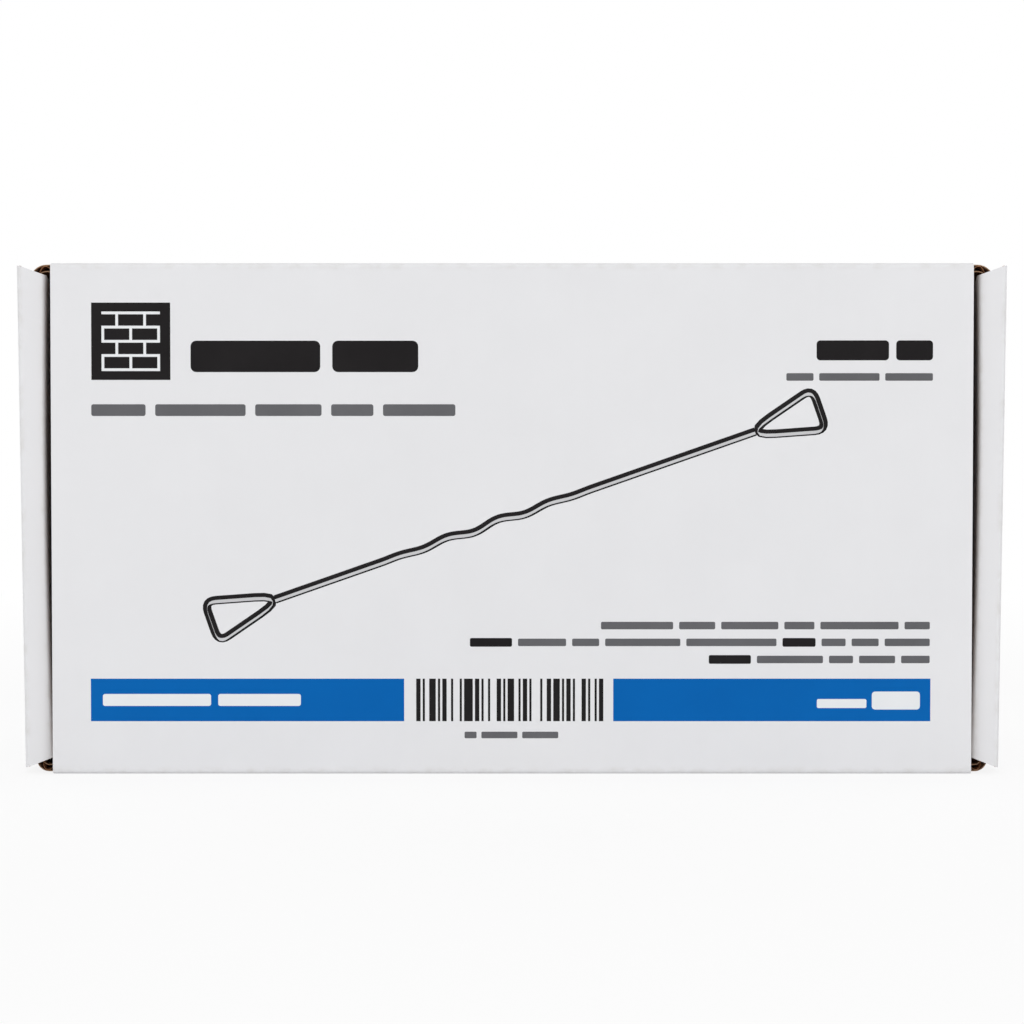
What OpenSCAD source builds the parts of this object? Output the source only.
// A white corrugated carton: a glued tube, closed at both ends by a flap that rolls over and tucks in.
// It stands on its bottom wall. X runs along the tube, the printed front panel faces -Y, Z is up.
// All sizes are in millimetres.

/* [Carton] */
// Width of the front panel between its two cut edges
front_w = 306; // [220:1:400]
// Height over the top and bottom walls
height = 170; // [130:1:240]
// Depth over the front and back panels
depth = 120; // [90:1:180]

/* [Board] */
// Thickness of the corrugated board
board = 2.5; // [1.6:0.1:3.2]
// Inner radius of a scored fold
crease_r = 0.8; // [0.4:0.1:1.4]
// Width of the cut between the end of a fold and the flap beside it
slot_w = 0.8; // [0.4:0.1:2]

/* [End flaps] */
// How far the top of each end stands out beyond its bottom
end_lean = 2.1; // [0:0.1:2.4]
// How far the bottom of a tuck lip reaches in behind the front panel's cut edge
lip_lap = 0.5; // [0.5:0.1:2]
// Depth of a tuck lip, from the face of the rolled strip to its free edge
lip_depth = 12; // [8:0.5:18]
// How much each end of a rolled strip is cut back across its width
strip_taper = 3.8; // [2:0.1:6]
// How much each end of a tuck lip is cut back between the fold and its free edge
lip_taper = 6; // [2:0.5:10]
// Gap between the back of the front panel and the rolled strip
strip_gap = 0.4; // [0.3:0.05:1]
// Distance from the top of the carton down to the upper edge of an end flap
flap_gap_top = 0.3; // [0.2:0.1:2]
// Distance from the base up to the lower edge of an end flap, which dips a little as it opens
flap_gap_bottom = 1.5; // [1.5:0.1:4]
// Width of the score that parts an end flap from the back panel
hinge_score = 0.1; // [0.06:0.02:0.2]

/* [Dust flaps] */
// Opening left between the free edges of an upper and a lower dust flap
dust_opening = 60; // [30:1:80]
// Inner radius of the lower dust flaps' folds
dust_fold_r = 1.7; // [0.8:0.1:2.5]
// Cut across each free corner of a dust flap
dust_corner = 9; // [3:0.5:12]
// Gap between a dust flap and the end flap outside it
outer_play = 0.7; // [0.5:0.1:1.5]
// Gap between a dust flap and the tuck lip inside it
inner_play = 2.3; // [1.5:0.1:3]
// Gap between a dust flap's front edge and the tuck lip's free edge
notch_play = 1.5; // [0.8:0.1:4]
// Gap around the part of a dust flap's fold that is left in front of its notch
stub_play = 0.3; // [0.3:0.1:1]
// Gap between a dust flap's rear edge and the back panel
rear_play = 3.5; // [1.5:0.5:8]

/* [Glue lap] */
// Width of the lap that is glued to the inside of the back panel
lap_w = 35; // [20:1:50]
// How much the lap narrows at each end
lap_slope = 12; // [2:1:30]
// Height of the back panel's cut lower edge above the base
back_edge_gap = 0.3; // [0.2:0.1:1]

/* [Hidden] */
$fn = 64;
white = "#E5E5E7";

// Outer radius of a scored fold
fold_r = crease_r + board;
half_score_angle = hinge_score / 2 / fold_r * 180 / PI;

// Each end of the carton is a plane that leans outwards at the top
lean = atan(end_lean / height);

// Across an end, from outside in: end flap, dust flap and tuck lip
roll_w = 3 * board + outer_play + inner_play;
end_x = front_w / 2 - lip_lap + roll_w;

// From the front backwards: front panel, rolled strip, then the room that the tuck lip swings in
strip_y = -depth / 2 + board + strip_gap;
lip_end_y = strip_y + lip_depth;
roll_axis_y = strip_y + fold_r;
hinge_axis_y = depth / 2 - fold_r;
flap_bottom = flap_gap_bottom;
flap_top = height / cos(lean) - flap_gap_top;

// The dust flaps stand upright. Each is nearest the leaning end flap at its own lowest point.
// Their folds start at one X on both walls, so the upper fold is the rounder one.
dust_len = (height - dust_opening) / 2;
lower_dust_x = end_x - board - outer_play;
upper_dust_x = lower_dust_x + (height - dust_len) * tan(lean);
lower_fold_r = board + dust_fold_r;
dust_fold_x = lower_dust_x - lower_fold_r;
upper_fold_r = upper_dust_x - dust_fold_x;
stub_y = roll_axis_y + stub_play;
notch_y = lip_end_y + notch_play;
dust_rear_y = depth / 2 - board - rear_play;

// A slice of board bent around the origin, that starts straight below it and turns to the left
module bend(r, angle) {
    reach = 2 * r;
    difference() {
        intersection() {
            circle(r);
            polygon([
                [0, 0],
                [0, -reach],
                reach * [sin(angle / 2), -cos(angle / 2)],
                reach * [sin(angle), -cos(angle)]
            ]);
        }
        circle(r - board);
    }
}

// The edge of a folded sheet. Each run is a straight length, the fold after it and its outer radius.
// The sheet starts along +X with its outer face on y = 0, and all folds turn to the left.
module folded(runs, i = 0) {
    length = runs[i][0];
    angle = runs[i][1];
    r = runs[i][2];
    if (length > 0)
        square([length, board]);
    translate([length, r]) {
        if (angle > 0)
            bend(r, angle);
        if (i + 1 < len(runs))
            rotate(angle)
                translate([0, -r])
                    folded(runs, i + 1);
    }
}

// Places its children on the right end: x = 0 is the outer face of the end flap
module right_end() {
    translate([end_x, 0, 0])
        rotate([0, lean, 0])
            children();
}

// Draws an outline of x and z as a prism that runs along Y from one place to another
module along_y(from, to) {
    translate([0, to, 0])
        rotate([90, 0, 0])
            linear_extrude(to - from)
                children();
}

// The four walls: from the fold of the glue lap round by the bottom, front and top to the back
module tube_walls() {
    translate([front_w / 2, depth / 2 - board, 0])
        rotate([90, 0, -90])
            linear_extrude(front_w)
                translate([0, fold_r])
                    rotate(-90)
                        folded([
                            [0, 90, fold_r],
                            [depth - board - 2 * fold_r, 90, fold_r],
                            [height - 2 * fold_r, 90, fold_r],
                            [depth - 2 * fold_r, 90, fold_r],
                            [height - fold_r - back_edge_gap, 0, fold_r]
                        ]);
}

module glue_lap() {
    half_w = front_w / 2;
    along_y(depth / 2 - 2 * board, depth / 2 - board)
        polygon([
            [-half_w, fold_r],
            [half_w, fold_r],
            [half_w - lap_slope, lap_w],
            [-half_w + lap_slope, lap_w]
        ]);
}

// The back panel's right end, up to the middle of the crease that the end flap turns on
module hinge_side() {
    wall_top = height - fold_r;
    right_end() {
        translate([-fold_r, hinge_axis_y, flap_bottom])
            linear_extrude(flap_top - flap_bottom)
                mirror([0, 1])
                    bend(fold_r, 45 - half_score_angle);
        along_y(depth / 2 - board, depth / 2)
            polygon([
                [panel_edge(flap_bottom) - board, flap_bottom],
                [-fold_r, flap_bottom],
                [-fold_r, flap_top],
                [panel_edge(flap_top) + slot_w, flap_top],
                [panel_edge(wall_top) + slot_w, wall_top],
                [panel_edge(wall_top) - board, wall_top]
            ]);
    }
}

// Where the front panel's cut edge lies on the leaning end, at a height along it
function panel_edge(z) = (front_w / 2 - end_x - z * sin(lean)) / cos(lean);

// How far a dust flap's fold may turn in front of the notch and stay clear of the tuck lip's end
function stub_angle(r, flap_gap) =
    acos(max(0, min(1, (r - flap_gap - strip_taper + stub_play) / (r - board))));

// A dust flap in the frame of its wall: the wall's outer face is z = 0 and the fold starts at x = 0.
// The first board's width of its root lies inside the wall.
module dust_flap(r, flap_gap) {
    root = dust_fold_x - front_w / 2 + board;
    along_y(notch_y, dust_rear_y)
        folded([[root, 90, r]]);
    along_y(stub_y, notch_y)
        folded([[root, stub_angle(r, flap_gap), r]]);
    translate([root + r, 0, 0])
        rotate([0, -90, 0])
            linear_extrude(board)
                polygon([
                    [r, notch_y],
                    [dust_len - dust_corner, notch_y],
                    [dust_len, notch_y + dust_corner],
                    [dust_len, dust_rear_y - dust_corner],
                    [dust_len - dust_corner, dust_rear_y],
                    [r, dust_rear_y]
                ]);
}

module right_dust_flaps() {
    root_x = front_w / 2 - board;
    translate([root_x, 0, 0])
        dust_flap(lower_fold_r, flap_gap_bottom);
    translate([root_x, 0, height])
        mirror([0, 0, 1])
            dust_flap(upper_fold_r, flap_gap_top);
}

module carton_tube() {
    color(white) {
        tube_walls();
        glue_lap();
        for (side = [0, 1])
            mirror([side, 0, 0]) {
                hinge_side();
                right_dust_flaps();
            }
    }
}

// What is cut off the upper end of the rolled strip and of the tuck lip
module upper_trim() {
    past = board;
    slope = strip_taper / roll_w;
    along_y(strip_y - past, roll_axis_y)
        polygon([
            [0, flap_top],
            [0, flap_top + past],
            [-roll_w - past, flap_top + past],
            [-roll_w - past, flap_top - strip_taper - past * slope]
        ]);
    lip_slope = lip_taper / (lip_end_y - roll_axis_y);
    translate([-roll_w - past, 0, 0])
        rotate([90, 0, 90])
            linear_extrude(2 * past)
                polygon([
                    [roll_axis_y, flap_top - strip_taper],
                    [lip_end_y + past, flap_top - strip_taper - lip_taper - past * lip_slope],
                    [lip_end_y + past, flap_top + past],
                    [roll_axis_y, flap_top + past]
                ]);
}

// The end panel with its half of the crease, the strip that rolls over at the front, and the tuck lip
module end_flap() {
    middle = flap_bottom + flap_top;
    difference() {
        translate([-roll_w, lip_end_y, flap_bottom])
            linear_extrude(flap_top - flap_bottom)
                rotate(-90)
                    folded([
                        [lip_depth - fold_r, 90, fold_r],
                        [roll_w - 2 * fold_r, 90, fold_r],
                        [hinge_axis_y - roll_axis_y, 45 - half_score_angle, fold_r]
                    ]);
        upper_trim();
        translate([0, 0, middle])
            mirror([0, 0, 1])
                upper_trim();
    }
}

module right_end_flap() {
    color(white)
        right_end()
            end_flap();
}

module left_end_flap() {
    color(white)
        mirror([1, 0, 0])
            right_end()
                end_flap();
}

carton_tube();
left_end_flap();
right_end_flap();
